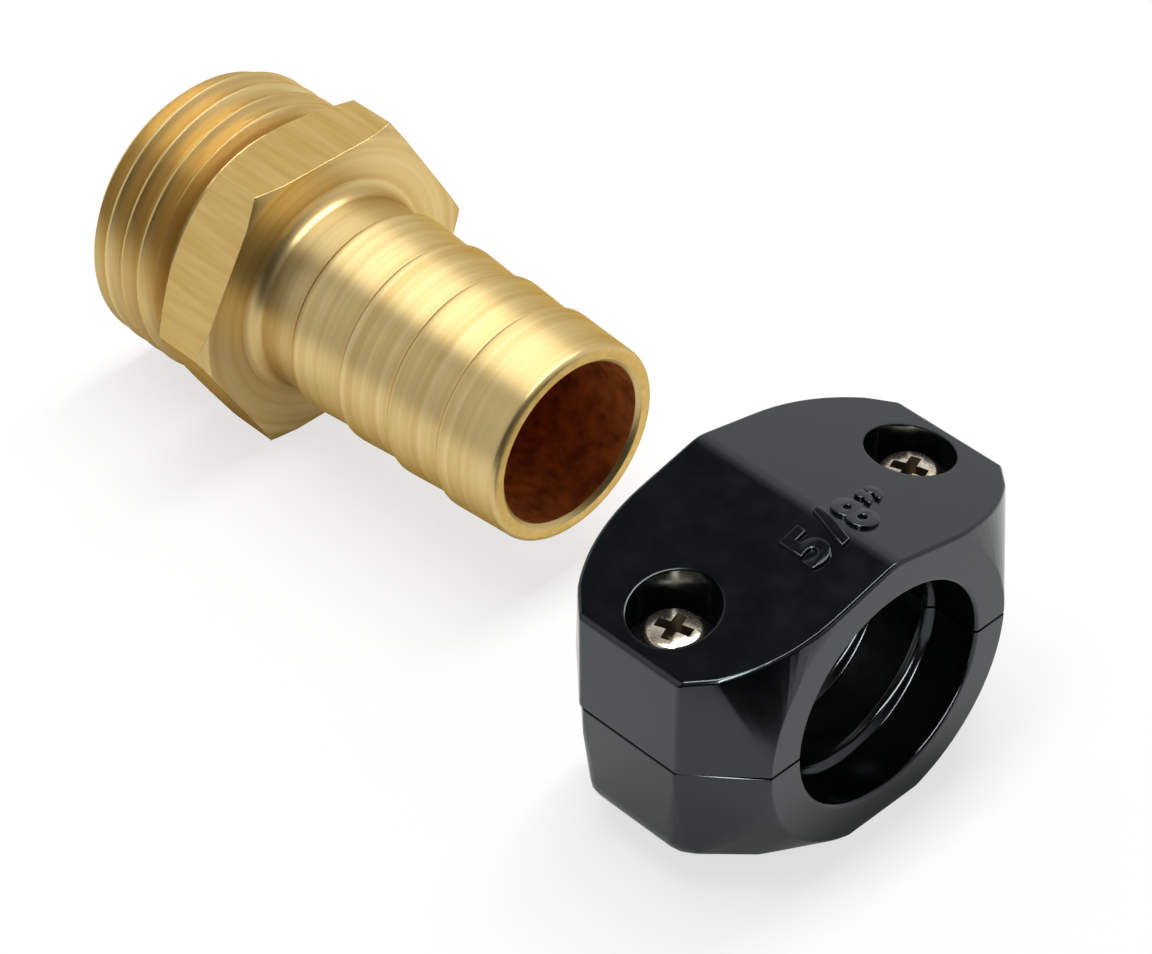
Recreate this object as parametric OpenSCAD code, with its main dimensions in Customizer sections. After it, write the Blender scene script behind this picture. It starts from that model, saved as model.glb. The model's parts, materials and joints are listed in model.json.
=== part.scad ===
// Male hose mender for 5/8 in garden hose, in millimetres.
// A turned brass coupling lies on the surface with its axis along X: thread, hexagon, barbed tail.
// Its two-piece clamp stands beside the tail's end, closed, with a screw at each side of the bore.
// The origin is on the surface, under the middle of the whole set.

/* [Hose thread end] */
// Diameter over the crests of the 3/4 in garden hose thread
thread_d = 26.98; // [26.6:0.02:27.3]
// Depth of the thread, which the lead-in chamfer and the run-out groove reach too
thread_depth = 1.44; // [1:0.02:1.6]
// Distance from one turn of the thread to the next, 11.5 turns to an inch
thread_pitch = 2.209; // [1.8:0.001:2.6]
// Distance from the end face to the first crest on the upper side
thread_crest_x = 0.48; // [0:0.01:2.2]
// Length of the threaded end, from its end face to the hexagon
thread_l = 11.2; // [9:0.1:14]
// Width of the run-out groove between the thread and the hexagon
runout_w = 1.2; // [1:0.1:2.5]
// Length of the slope from the last crest down into the run-out groove
runout_slope_l = 0.5; // [0.3:0.1:1.2]

/* [Hexagon] */
// How much wider the hexagon bar is across its flats than the thread that is turned from it
hex_over_thread = 0.02; // [0:0.02:3]
// Thickness of the hexagon
hex_t = 7.15; // [5:0.1:10]
// How far the round face beside the thread stays inside the flats
hex_back_inset = 0.5; // [0:0.05:1]
// Angle of the chamfer beside the thread, from the hexagon's face
hex_back_angle = 36; // [25:1:45]
// How far the round face beside the hose tail reaches past the flats, which leaves the corners cut
hex_front_outset = 0.85; // [0.3:0.05:1.3]
// Angle of the chamfer beside the hose tail, from the hexagon's face
hex_front_angle = 20; // [15:1:45]

/* [Hose tail] */
// Length of the hose tail, from the hexagon to its tip
tail_l = 30.4; // [28:0.1:36]
// Diameter of the tail in the valleys between the barbs
tail_root_d = 18.5; // [17.6:0.1:18.8]
// Height of a barb over the valleys
barb_h = 0.45; // [0.3:0.05:0.8]
// Number of barbs
barb_count = 4; // [1:1:4]
// Distance from the hexagon to the first barb's crest
barb_first = 5.5; // [3.5:0.1:6.5]
// Distance from one crest to the next
barb_pitch = 6.1; // [4:0.1:6.4]
// Length of the steep back of a barb, which faces the hexagon
barb_back_l = 0.45; // [0.2:0.05:1]
// Width of the flat land on a crest
barb_land_w = 0.35; // [0.2:0.05:0.8]
// Radius of the fillet at the foot of the tail
tail_fillet_r = 1.3; // [0.6:0.1:1.8]
// Height of the tip over the valleys, behind its rounded edge
tip_h = 0.1; // [0:0.05:0.3]
// Radius of the rounded edge of the tip
tip_edge_r = 0.5; // [0.2:0.1:0.8]

/* [Waterway] */
// Diameter of the waterway
waterway_d = 15.4; // [13:0.1:16]
// Chamfer at the waterway's two mouths
mouth_chamfer = 0.4; // [0.2:0.1:0.8]

/* [Clamp body] */
// Width of the clamp along its bore
clamp_w = 21.6; // [18:0.1:26]
// Width of the flat end faces
clamp_end_w = 11.2; // [8:0.1:14]
// Length of the straight front and back edges of the roof
clamp_roof_edge_l = 9.6; // [6:0.1:18]
// Radius of the crown between a straight edge and an end face, seen from above
clamp_crown_r = 21; // [20:0.5:60]
// Radius of the upright edges of the end faces
clamp_corner_r = 1; // [0.5:0.1:2]
// Wall between the bore and the rim of the round ring face
ring_wall = 3.6; // [3:0.1:4.5]
// Gap between the closed halves
clamp_split = 0.25; // [0.1:0.05:0.6]

/* [Upper half] */
// Wall between the bore and the roof's ridge
ridge_wall = 4.1; // [3.8:0.1:6]
// Slope of the roof, from the ridge down to the end faces
roof_slope = 14; // [8:0.5:15]
// Radius of the soft ridge
ridge_r = 1.5; // [1:0.5:15]
// Radius of the roof's edges at the end faces
roof_edge_r = 0.7; // [0.3:0.1:1.5]

/* [Lower half] */
// Wall between the bore and the flat foot
foot_wall = 3; // [2.4:0.1:5]
// Width of the flat foot, across the bore
foot_w = 9; // [6:0.5:14]
// Slope of the underside, from the foot up to the end faces
under_slope = 13; // [6:0.5:14]
// Draft of the end faces below the parting plane
lower_draft = 5; // [0:0.5:8]
// Radius between the foot and the sloping underside
foot_edge_r = 6; // [1:0.5:10]
// Radius of the round lower edges at the end faces
under_edge_r = 2.6; // [1:0.1:3]

/* [Clamp bore] */
// Diameter of the bore between its gripping ribs
bore_d = 20.2; // [20:0.1:21.4]
// Height of the gripping ribs
rib_h = 0.6; // [0.3:0.05:1]
// Number of gripping ribs
rib_count = 3; // [2:1:3]
// Distance from one rib to the next
rib_pitch = 5.8; // [4:0.1:7]
// Width of a rib at its crest
rib_crest_w = 0.9; // [0.4:0.1:1.5]
// Width of a rib at its foot
rib_foot_w = 2.1; // [1.6:0.1:3]
// Chamfer at the bore's two mouths
bore_chamfer = 0.3; // [0.2:0.1:0.6]

/* [Clamp screws] */
// Distance from the bore to a screw's axis
screw_bore_gap = 3.3; // [3:0.1:5]
// Distance from a screw's axis to the end face beside it
screw_end_gap = 5; // [4.2:0.1:6]
// Diameter of the screw's thread, No. 4
screw_d = 2.84; // [2.6:0.02:3]
// Length of the screw under its head
screw_l = 15.9; // [12:0.1:16]
// Chamfer at the screw's tip
screw_tip_chamfer = 0.45; // [0.2:0.05:0.7]
// Diameter of the pan head
head_d = 5.3; // [4.8:0.1:5.8]
// Height of the pan head
head_h = 1.9; // [1.4:0.1:2.2]
// Radius of the pan head's upper edge
head_edge_r = 0.9; // [0.4:0.1:1.2]
// Length of the cross recess, from arm to arm
cross_l = 3.1; // [2.4:0.1:3.4]
// Width of an arm of the cross recess
cross_w = 0.7; // [0.5:0.05:0.9]
// Depth of the cross recess
cross_depth = 1.1; // [0.8:0.1:1.3]
// Diameter of the round recess over each screw
recess_d = 7.6; // [6.6:0.1:8]
// Height of the recess floor over the parting plane
recess_floor_h = 6.9; // [6:0.1:7.6]
// Free depth of the blind hole under the screw's tip
screw_hole_spare = 0.5; // [0.2:0.1:0.8]
// Running clearance of the screw's thread in the lower half, on the radius
screw_fit = 0.06; // [0.03:0.01:0.1]
// Clearance of the screw in the upper half, on the radius
screw_clearance = 0.2; // [0.1:0.05:0.4]

/* [Layout] */
// Free distance between the tail's tip and the clamp, along the axis
clamp_gap = 17.3; // [5:0.5:60]
// Distance of the clamp's bore to the side of the fitting's axis
clamp_side = -3; // [-20:0.5:20]

/* [Hidden] */
$fn = 96;
arc_steps = 8;
overcut = 1;
thread_steps = 24; // straight steps in a turn of the thread's groove
thread_flank = 30; // angle of the thread's flanks
groove_lift = 0.02; // keeps the groove's floor clear of the run-out groove
groove_over = 0.2; // how far the groove's cutter stands over the crests
crest_min_w = 0.05; // least width that the groove leaves of a crest
hex_flat_down = 30; // turn that brings a flat of the hexagon under it
cross_turn = 45; // turn of the cross recess, whose arms lie diagonal to the clamp

thread_r = thread_d / 2;
thread_root_r = thread_r - thread_depth;
tail_root_r = tail_root_d / 2;
barb_r = tail_root_r + barb_h;
tip_r = tail_root_r + tip_h;
waterway_r = waterway_d / 2;
hex_flat_r = (thread_d + hex_over_thread) / 2;
hex_corner_r = hex_flat_r / cos(30);
hex_x = thread_l;
tail_x = hex_x + hex_t;
fitting_l = tail_x + tail_l;

bore_r = bore_d / 2;
rib_r = bore_r - rib_h;
ring_r = bore_r + ring_wall;
half_w = clamp_w / 2;
screw_r = screw_d / 2;
screw_y = bore_r + screw_bore_gap;
end_y = screw_y + screw_end_gap;
screw_hole_depth = screw_l - recess_floor_h + screw_hole_spare;
ridge_h = bore_r + ridge_wall;
roof_end_h = ridge_h - end_y * tan(roof_slope);
foot_h = bore_r + foot_wall;
under_end_h =
    (foot_h - (end_y - foot_w / 2) * tan(under_slope)) / (1 - tan(lower_draft) * tan(under_slope));
under_end_y = end_y - under_end_h * tan(lower_draft);

clamp_x = fitting_l + clamp_gap + half_w;
set_l = fitting_l + clamp_gap + clamp_w;
side_low = min(-hex_corner_r, clamp_side - end_y);
side_high = max(hex_corner_r, clamp_side + end_y);
origin_x = set_l / 2;
origin_y = (side_low + side_high) / 2;

// Points of a circle about centre o, from angle a0 to a1.
function arc(o, r, a0, a1) =
    [for (i = [0:arc_steps]) let (a = a0 + (a1 - a0) * i / arc_steps) o + r * [cos(a), sin(a)]];

// Points of an arc from a to b that bulges to the right of the way from a to b.
function arc_between(a, b, r) =
    let (d = b - a, c = norm(d), o = (a + b) / 2 + sqrt(r * r - c * c / 4) * [-d.y, d.x] / c)
    arc(o, r, atan2(a.y - o.y, a.x - o.x), atan2(b.y - o.y, b.x - o.x));

function unit(v) = v / norm(v);

// The corner at b, between a and c, rounded to radius r.
function rounded_corner(a, b, c, r) =
    let (u = unit(a - b), w = unit(c - b), half = acos(u * w) / 2, reach = r / tan(half),
         o = b + unit(u + w) * r / sin(half), s = b + u * reach, e = b + w * reach,
         a0 = atan2(s.y - o.y, s.x - o.x), turn = atan2(e.y - o.y, e.x - o.x) - a0,
         sweep = turn > 180 ? turn - 360 : turn < -180 ? turn + 360 : turn)
    arc(o, r, a0, a0 + sweep);

// An outline whose corners have the given radii; a radius of 0 keeps a corner sharp.
function rounded(points, radii) =
    let (n = len(points))
    [for (i = [0:n - 1])
        each radii[i] == 0 ? [points[i]]
            : rounded_corner(points[(i + n - 1) % n], points[i], points[(i + 1) % n], radii[i])];

function reversed(points) = [for (i = [len(points) - 1:-1:0]) points[i]];

// A profile of [radius, distance] pairs turned about the X axis.
module turned(profile) {
    rotate([0, 90, 0])
        rotate_extrude()
            polygon(profile);
}

// An outline of [y, z] pairs drawn along X over the clamp's whole width.
module clamp_prism(outline) {
    translate([-half_w - overcut, 0, 0])
        rotate([90, 0, 90])
            linear_extrude(height = clamp_w + 2 * overcut)
                polygon(outline);
}

// Fitting

thread_end_x = thread_l - runout_w;
thread_profile = [
    [0, 0], [thread_root_r, 0], [thread_r, thread_depth],
    [thread_r, thread_end_x - runout_slope_l], [thread_root_r, thread_end_x], [thread_root_r, thread_l]
];

function crest_x(i) = tail_x + barb_first + i * barb_pitch;

barb_profile = [
    for (i = [0:barb_count - 1])
        let (x = crest_x(i))
        each [[tail_root_r, x - barb_back_l], [barb_r, x], [barb_r, x + barb_land_w]]
];

fillet_profile = arc([tail_root_r + tail_fillet_r, tail_x + tail_fillet_r], tail_fillet_r, 270, 180);
tip_profile = arc([tip_r - tip_edge_r, fitting_l - tip_edge_r], tip_edge_r, 0, 90);

blank_profile = concat(
    thread_profile,
    [[thread_root_r, tail_x]],
    fillet_profile,
    barb_profile,
    tip_profile,
    [[0, fitting_l]]
);

groove_floor_r = (thread_root_r + groove_lift) / cos(180 / thread_steps);
groove_rim_r = thread_r + groove_over;
groove_floor_w = thread_pitch / 8;
groove_sharp_w = groove_floor_w + 2 * (groove_rim_r - groove_floor_r) * tan(thread_flank);
groove_rim_w = min(groove_sharp_w, thread_pitch - crest_min_w);
groove_x = thread_crest_x + thread_pitch / 2;

// Corners of the groove's section after i steps of its turn.
function groove_section(i) =
    let (x = groove_x + i * thread_pitch / thread_steps, a = 90 + i * 360 / thread_steps)
    [
        for (c = [[groove_floor_r, -groove_floor_w], [groove_floor_r, groove_floor_w],
                  [groove_rim_r, groove_rim_w], [groove_rim_r, -groove_rim_w]])
            [x + c.y / 2, c.x * cos(a), c.x * sin(a)]
    ];

// Right-hand groove between the thread's crests, wound from before the end face into the run-out groove.
module thread_groove() {
    first = -ceil((groove_x + thread_pitch / 2) / thread_pitch * thread_steps) - 1;
    last = ceil((thread_end_x + thread_pitch / 2 - groove_x) / thread_pitch * thread_steps);
    count = last - first;
    polyhedron(
        points = [for (i = [first:last]) each groove_section(i)],
        faces = concat(
            [[0, 1, 2, 3], [for (j = [3:-1:0]) 4 * count + j]],
            [
                for (i = [0:count - 1], j = [0:3])
                    let (a = 4 * i + j, b = 4 * i + (j + 1) % 4)
                    each [[a, b + 4, b], [a, a + 4, b + 4]]
            ]
        )
    );
}

waterway_profile = [
    [0, -overcut], [waterway_r + mouth_chamfer + overcut, -overcut], [waterway_r, mouth_chamfer],
    [waterway_r, fitting_l - mouth_chamfer], [waterway_r + mouth_chamfer + overcut, fitting_l + overcut],
    [0, fitting_l + overcut]
];

// Hexagon with a turned chamfer on both faces, flat side down.
module hexagon() {
    back_r = hex_flat_r - hex_back_inset;
    front_r = hex_flat_r + hex_front_outset;
    rim_r = hex_corner_r + overcut;
    translate([hex_x, 0, 0])
        intersection() {
            rotate([0, 90, 0])
                rotate([0, 0, hex_flat_down])
                    cylinder(r = hex_corner_r, h = hex_t, $fn = 6);
            turned([
                [0, 0], [back_r, 0], [rim_r, (rim_r - back_r) * tan(hex_back_angle)],
                [rim_r, hex_t - (rim_r - front_r) * tan(hex_front_angle)], [front_r, hex_t], [0, hex_t]
            ]);
        }
}

// The whole fitting, lying on a flat of its hexagon.
module hose_fitting() {
    color("goldenrod")
        translate([-origin_x, -origin_y, hex_flat_r])
            difference() {
                union() {
                    difference() {
                        turned(blank_profile);
                        thread_groove();
                    }
                    hexagon();
                }
                turned(waterway_profile);
            }
}

// Clamp

plan_corner = [clamp_end_w / 2, end_y];
plan_crown = arc_between([half_w, clamp_roof_edge_l / 2], plan_corner, clamp_crown_r);
plan_quarter = concat(
    [for (i = [0:arc_steps - 1]) plan_crown[i]],
    rounded_corner(plan_crown[arc_steps - 1], plan_corner, [0, end_y], clamp_corner_r)
);
plan_ends = rounded_corner([clamp_end_w / 2, 0], plan_corner, [0, end_y], clamp_corner_r);

// A quarter of the clamp's plan mirrored to the whole.
function all_round(quarter) = concat(
    quarter,
    reversed([for (p = quarter) [-p.x, p.y]]),
    [for (p = quarter) [-p.x, -p.y]],
    reversed([for (p = quarter) [p.x, -p.y]])
);

roof_outline = rounded(
    [
        [-end_y, clamp_split / 2], [-end_y, roof_end_h], [0, ridge_h],
        [end_y, roof_end_h], [end_y, clamp_split / 2]
    ],
    [0, roof_edge_r, ridge_r, roof_edge_r, 0]
);

under_outline = rounded(
    [
        [end_y, -clamp_split / 2], [under_end_y, -under_end_h], [foot_w / 2, -foot_h],
        [-foot_w / 2, -foot_h], [-under_end_y, -under_end_h], [-end_y, -clamp_split / 2]
    ],
    [0, under_edge_r, foot_edge_r, foot_edge_r, under_edge_r, 0]
);

// Rough block of a half, from height z0 to z1: a quarter plan's upright prism blended into the round ring.
module clamp_block(quarter, z0, z1) {
    hull() {
        translate([0, 0, z0])
            linear_extrude(height = z1 - z0)
                polygon(all_round(quarter));
        translate([-half_w, 0, 0])
            rotate([0, 90, 0])
                cylinder(r = ring_r, h = clamp_w);
    }
}

function rib_side(x, s) = [[bore_r, x - s * rib_foot_w / 2], [rib_r, x - s * rib_crest_w / 2]];
rib_first_x = -rib_pitch * (rib_count - 1) / 2;
mouth_r = bore_r + bore_chamfer + overcut;
bore_profile = concat(
    [[0, -half_w - overcut], [mouth_r, -half_w - overcut], [bore_r, -half_w + bore_chamfer]],
    [
        for (i = [0:rib_count - 1])
            let (x = rib_first_x + i * rib_pitch)
            each concat(rib_side(x, 1), reversed(rib_side(x, -1)))
    ],
    [[bore_r, half_w - bore_chamfer], [mouth_r, half_w + overcut], [0, half_w + overcut]]
);

// Places what follows in the clamp, whose bore axis lies in the parting plane.
module in_clamp() {
    translate([clamp_x - origin_x, clamp_side - origin_y, foot_h])
        children();
}

// Places what follows on a screw's axis: side is -1 for the left screw and 1 for the right one.
module at_screw(side) {
    translate([0, side * screw_y, 0])
        children();
}

module clamp_lower() {
    color("dimgray")
        in_clamp()
            difference() {
                intersection() {
                    clamp_block(plan_ends, -under_end_h - overcut, 0);
                    clamp_prism(under_outline);
                }
                turned(bore_profile);
                for (side = [-1, 1])
                    at_screw(side)
                        translate([0, 0, -screw_hole_depth])
                            cylinder(r = screw_r + screw_fit, h = screw_hole_depth + overcut);
            }
}

module clamp_upper() {
    color("dimgray")
        in_clamp()
            difference() {
                intersection() {
                    clamp_block(plan_quarter, 0, ridge_h);
                    clamp_prism(roof_outline);
                }
                turned(bore_profile);
                for (side = [-1, 1])
                    at_screw(side) {
                        translate([0, 0, -overcut])
                            cylinder(r = screw_r + screw_clearance, h = ridge_h);
                        translate([0, 0, recess_floor_h])
                            cylinder(r = recess_d / 2, h = ridge_h);
                    }
            }
}

// Screws

head_profile = concat(
    [[0, 0], [head_d / 2, 0]],
    arc([head_d / 2 - head_edge_r, head_h - head_edge_r], head_edge_r, 0, 90),
    [[0, head_h]]
);

// Pan-head screw standing on z = 0, with a cross recess in its head.
module screw() {
    difference() {
        union() {
            rotate_extrude()
                polygon(head_profile);
            translate([0, 0, screw_tip_chamfer - screw_l])
                cylinder(r = screw_r, h = screw_l - screw_tip_chamfer);
            translate([0, 0, -screw_l])
                cylinder(r1 = screw_r - screw_tip_chamfer, r2 = screw_r, h = screw_tip_chamfer);
        }
        for (turn = [cross_turn, cross_turn + 90])
            rotate([0, 0, turn])
                translate([-cross_l / 2, -cross_w / 2, head_h - cross_depth])
                    cube([cross_l, cross_w, cross_depth + overcut]);
    }
}

module screw_left() {
    color("silver")
        in_clamp()
            at_screw(-1)
                translate([0, 0, recess_floor_h])
                    screw();
}

module screw_right() {
    color("silver")
        in_clamp()
            at_screw(1)
                translate([0, 0, recess_floor_h])
                    screw();
}

hose_fitting();
clamp_lower();
clamp_upper();
screw_left();
screw_right();
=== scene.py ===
"""Looks of a brass hose mender: the turned fitting, and beside it the two-part screw clamp."""

import json
import math

import bmesh
import bpy
from mathutils import Matrix, Vector

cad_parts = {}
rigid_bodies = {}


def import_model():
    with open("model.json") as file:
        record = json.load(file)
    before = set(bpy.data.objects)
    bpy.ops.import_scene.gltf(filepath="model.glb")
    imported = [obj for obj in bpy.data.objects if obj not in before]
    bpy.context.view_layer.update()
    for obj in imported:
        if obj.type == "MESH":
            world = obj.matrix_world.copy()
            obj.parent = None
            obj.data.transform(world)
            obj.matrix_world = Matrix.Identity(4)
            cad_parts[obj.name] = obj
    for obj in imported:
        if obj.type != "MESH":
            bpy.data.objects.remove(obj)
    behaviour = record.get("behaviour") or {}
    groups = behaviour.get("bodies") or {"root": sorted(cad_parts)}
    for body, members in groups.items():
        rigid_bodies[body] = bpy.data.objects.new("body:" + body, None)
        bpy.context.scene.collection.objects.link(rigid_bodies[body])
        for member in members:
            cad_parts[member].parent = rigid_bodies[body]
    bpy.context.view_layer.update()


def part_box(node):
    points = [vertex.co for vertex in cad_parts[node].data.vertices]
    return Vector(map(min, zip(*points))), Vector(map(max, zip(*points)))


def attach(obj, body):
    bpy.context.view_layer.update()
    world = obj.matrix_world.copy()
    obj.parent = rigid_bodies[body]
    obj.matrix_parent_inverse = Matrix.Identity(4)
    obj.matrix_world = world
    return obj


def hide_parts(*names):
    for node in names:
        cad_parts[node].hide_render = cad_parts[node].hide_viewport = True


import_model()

# Hose fitting
# One piece of brass, turned on a lathe from drawn hexagon bar: hose thread, hexagon and barbed tail.
# The flats stay as drawn and all the rest is turned, so it carries fine rings about its axis.

MM = 0.001
ALONG = Vector((1, 0, 0))
ACROSS = Vector((0, 1, 0))
UPWARD = Vector((0, 0, 1))

fitting_low, fitting_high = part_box("hose_fitting")
fitting_axis = Vector((0, (fitting_low.y + fitting_high.y) / 2, (fitting_low.z + fitting_high.z) / 2))
thread_end = fitting_axis + ALONG * fitting_low.x
fitting_length = (fitting_high.x - fitting_low.x) / MM

thread_r = 13.49
thread_root_r = 12.05
thread_pitch = 2.209
thread_crest = 0.48
thread_length = 11.2
runout_start = 10.0
runout_r = 11.98
hexagon_flat_r = 13.5
hexagon_length = 7.15
tail_r = 9.25
tail_fillet = 1.3
barb_crest_r = 9.7
barb_first = 5.5
barb_pitch = 6.1
barb_back = 0.45
barb_land = 0.35
tip_r = 9.35
tip_round = 0.5
waterway_r = 7.7
mouth_chamfer = 0.4
root_chamfer = 0.1
turned_edge = 0.05
hexagon_edge = 0.07
round_sides = 192
hexagon_start = thread_length
tail_start = thread_length + hexagon_length


def arc(middle, radius, start, end, steps):
    """Points of an arc about a middle point, from one angle to another in degrees."""
    turns = [math.radians(start + (end - start) * i / steps) for i in range(steps + 1)]
    return [(middle[0] + radius * math.cos(t), middle[1] + radius * math.sin(t)) for t in turns]


def lathe(name, centre, axis, stations, sides):
    """Turned piece: a ring extruded and resized through the stations, each (place, radius) in mm."""
    bpy.ops.object.select_all(action="DESELECT")
    place, radius = stations[0]
    lying = (0, math.pi / 2, 0) if axis.x else (0, 0, 0)
    bpy.ops.mesh.primitive_circle_add(
        vertices=sides, radius=radius * MM, location=centre + axis * place * MM, rotation=lying
    )
    piece = bpy.context.object
    piece.name = name
    bpy.ops.object.transform_apply()
    bpy.ops.object.mode_set(mode="EDIT")
    bpy.ops.mesh.select_all(action="SELECT")
    for new_place, new_radius in stations[1:]:
        step = axis * (new_place - place) * MM
        bpy.ops.mesh.extrude_region_move(TRANSFORM_OT_translate={"value": tuple(step)})
        growth = new_radius / radius
        bpy.ops.transform.resize(
            value=(1, growth, growth) if axis.x else (growth, growth, 1),
            center_override=tuple(centre + axis * new_place * MM),
        )
        place, radius = new_place, new_radius
    close_up()
    bpy.ops.object.mode_set(mode="OBJECT")
    return piece


def close_up():
    """In edit mode: joins ends that meet, fills open ends and turns every face outwards."""
    bpy.ops.mesh.select_all(action="SELECT")
    bpy.ops.mesh.remove_doubles(threshold=0.001 * MM)
    bpy.ops.mesh.fill_holes(sides=0)
    bpy.ops.mesh.select_all(action="SELECT")
    bpy.ops.mesh.normals_make_consistent(inside=False)


def outline(name, points):
    """A closed ring of edges through the given points, in mm."""
    bpy.ops.object.select_all(action="DESELECT")
    bpy.ops.mesh.primitive_circle_add(vertices=len(points))
    ring = bpy.context.object
    ring.name = name
    for corner, point in zip(ring.data.vertices, points):
        corner.co = Vector(point) * MM
    return ring


def put_on(piece, kind, **settings):
    """Adds a modifier with its settings and applies it."""
    bpy.ops.object.select_all(action="DESELECT")
    bpy.context.view_layer.objects.active = piece
    piece.select_set(True)
    step = piece.modifiers.new(kind.title(), kind)
    for setting, value in settings.items():
        setattr(step, setting, value)
    bpy.ops.object.modifier_apply(modifier=step.name)


def boolean(piece, operation, other):
    """Joins, cuts or trims the piece with another solid, which is used up."""
    put_on(piece, "BOOLEAN", operation=operation, solver="EXACT", object=other)
    bpy.data.objects.remove(other)


def break_edges(piece, width, angle, segments=2):
    """Rounds every edge sharper than the angle by a small width in mm."""
    put_on(
        piece,
        "BEVEL",
        width=width * MM,
        segments=segments,
        limit_method="ANGLE",
        angle_limit=math.radians(angle),
        use_clamp_overlap=False,
        miter_outer="MITER_ARC",
    )


def helix(name, centre, axis_letter, profile, pitch, turns, steps):
    """A closed thread ridge: the profile, in mm, wound about the axis through the centre."""
    ridge = outline(name, profile)
    ridge.location = centre
    put_on(
        ridge,
        "SCREW",
        axis=axis_letter,
        angle=2 * math.pi,
        screw_offset=pitch * MM,
        iterations=turns,
        steps=steps,
        render_steps=steps,
    )
    bpy.ops.object.transform_apply()
    bpy.ops.object.mode_set(mode="EDIT")
    close_up()
    bpy.ops.object.mode_set(mode="OBJECT")
    return ridge


def smooth(piece, angle):
    """Smooth shading that keeps flat faces flat and edges sharper than the angle crisp."""
    bpy.ops.object.select_all(action="DESELECT")
    bpy.context.view_layer.objects.active = piece
    piece.select_set(True)
    bpy.ops.object.shade_smooth_by_angle(angle=math.radians(angle))
    put_on(piece, "WEIGHTED_NORMAL", mode="FACE_AREA", weight=50, keep_sharp=True)


def ridge_profile(foot_r, crest_r, pitch):
    """Section of a 60 degree thread ridge with a rounded crest, as (along, radius)."""
    slope = math.tan(math.radians(30))
    crest_fall, shoulder_fall = 0.02, 0.13
    crest = pitch / 16
    foot = crest + (crest_r - foot_r) * slope
    shoulder = crest + (shoulder_fall - 0.01) * slope + 0.01
    return [
        (-foot, foot_r),
        (-shoulder, crest_r - shoulder_fall),
        (crest_fall - crest, crest_r - crest_fall),
        (0, crest_r),
        (crest - crest_fall, crest_r - crest_fall),
        (shoulder, crest_r - shoulder_fall),
        (foot, foot_r),
    ]


crests = [tail_start + barb_first + i * barb_pitch for i in range(4)]
# The last two stations of this list lie hidden inside the hexagon.
blank_stations = [
    (mouth_chamfer, waterway_r),
    (0, waterway_r + mouth_chamfer),
    (0, thread_root_r - root_chamfer),
    (root_chamfer, thread_root_r),
    (runout_start, thread_root_r),
    (runout_start + 0.1, runout_r),
    (tail_start - 0.4, runout_r),
    (tail_start - 0.05, tail_r + tail_fillet + 0.1),
]
blank_stations += arc((tail_start + tail_fillet, tail_r + tail_fillet), tail_fillet, 184, 270, 12)
for crest in crests:
    blank_stations += [(crest - barb_back, tail_r), (crest, barb_crest_r)]
    blank_stations += [(crest + barb_land, barb_crest_r)]
blank_stations += arc((fitting_length - tip_round, tip_r - tip_round), tip_round, 90, 0, 8)
blank_stations += [
    (fitting_length, waterway_r + mouth_chamfer),
    (fitting_length - mouth_chamfer, waterway_r),
    (mouth_chamfer, waterway_r),
]
fitting = lathe("hose_fitting_brass", thread_end, ALONG, blank_stations, round_sides)
break_edges(fitting, width=turned_edge, angle=30)

ridge_foot_r = thread_root_r - 0.12
ridge_turns = 7
ridge_steps = 96
ridge_start = thread_crest - 2 * thread_pitch
ridge_section = ridge_profile(ridge_foot_r, thread_r, thread_pitch)
ridge = helix(
    "hose_thread_ridge",
    thread_end,
    "X",
    [(ridge_start + x, 0, r) for x, r in ridge_section],
    thread_pitch,
    ridge_turns,
    ridge_steps,
)
# The thread runs in on a long chamfer at the end and runs out on a short one before the groove.
run_in = (0.05, 2.05)
run_out = (9.34, 10.02)
limit_low_r = thread_root_r - 0.05
limit_high_r = thread_r + 0.46
thread_limits = lathe(
    "thread_limits",
    thread_end,
    ALONG,
    [
        (run_in[0], limit_low_r),
        (run_in[1], limit_high_r),
        (run_out[0], limit_high_r),
        (run_out[1], limit_low_r),
    ],
    round_sides,
)
boolean(ridge, "INTERSECT", thread_limits)

bpy.ops.object.select_all(action="DESELECT")
hexagon_overlength = 0.5
bpy.ops.mesh.primitive_cylinder_add(
    vertices=6,
    radius=hexagon_flat_r / math.cos(math.radians(30)) * MM,
    depth=(hexagon_length + hexagon_overlength) * MM,
    location=thread_end + ALONG * (hexagon_start + hexagon_length / 2) * MM,
    rotation=(0, math.pi / 2, 0),
)
hexagon = bpy.context.object
bpy.ops.object.transform_apply()
rim_r = 17
back_face_r = 13
front_face_r = 14.35
back_chamfer = (rim_r - back_face_r) * math.tan(math.radians(36))
front_chamfer = (rim_r - front_face_r) * math.tan(math.radians(20))
hexagon_limits = lathe(
    "hexagon_limits",
    thread_end + ALONG * hexagon_start * MM,
    ALONG,
    [
        (0, back_face_r),
        (back_chamfer, rim_r),
        (hexagon_length - front_chamfer, rim_r),
        (hexagon_length, front_face_r),
    ],
    round_sides,
)
boolean(hexagon, "INTERSECT", hexagon_limits)
break_edges(hexagon, width=hexagon_edge, angle=12)
boolean(fitting, "UNION", hexagon)
boolean(fitting, "UNION", ridge)
bpy.ops.object.mode_set(mode="EDIT")
bpy.ops.mesh.select_all(action="SELECT")
bpy.ops.mesh.dissolve_degenerate(threshold=0.002 * MM)
close_up()
bpy.ops.object.mode_set(mode="OBJECT")
smooth(fitting, angle=32)


def linear(hex_colour):
    """An sRGB hex colour as the linear colour that a shader takes."""
    parts = [int(hex_colour[i : i + 2], 16) / 255 for i in (1, 3, 5)]
    return (*[p / 12.92 if p <= 0.04045 else ((p + 0.055) / 1.055) ** 2.4 for p in parts], 1)


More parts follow.
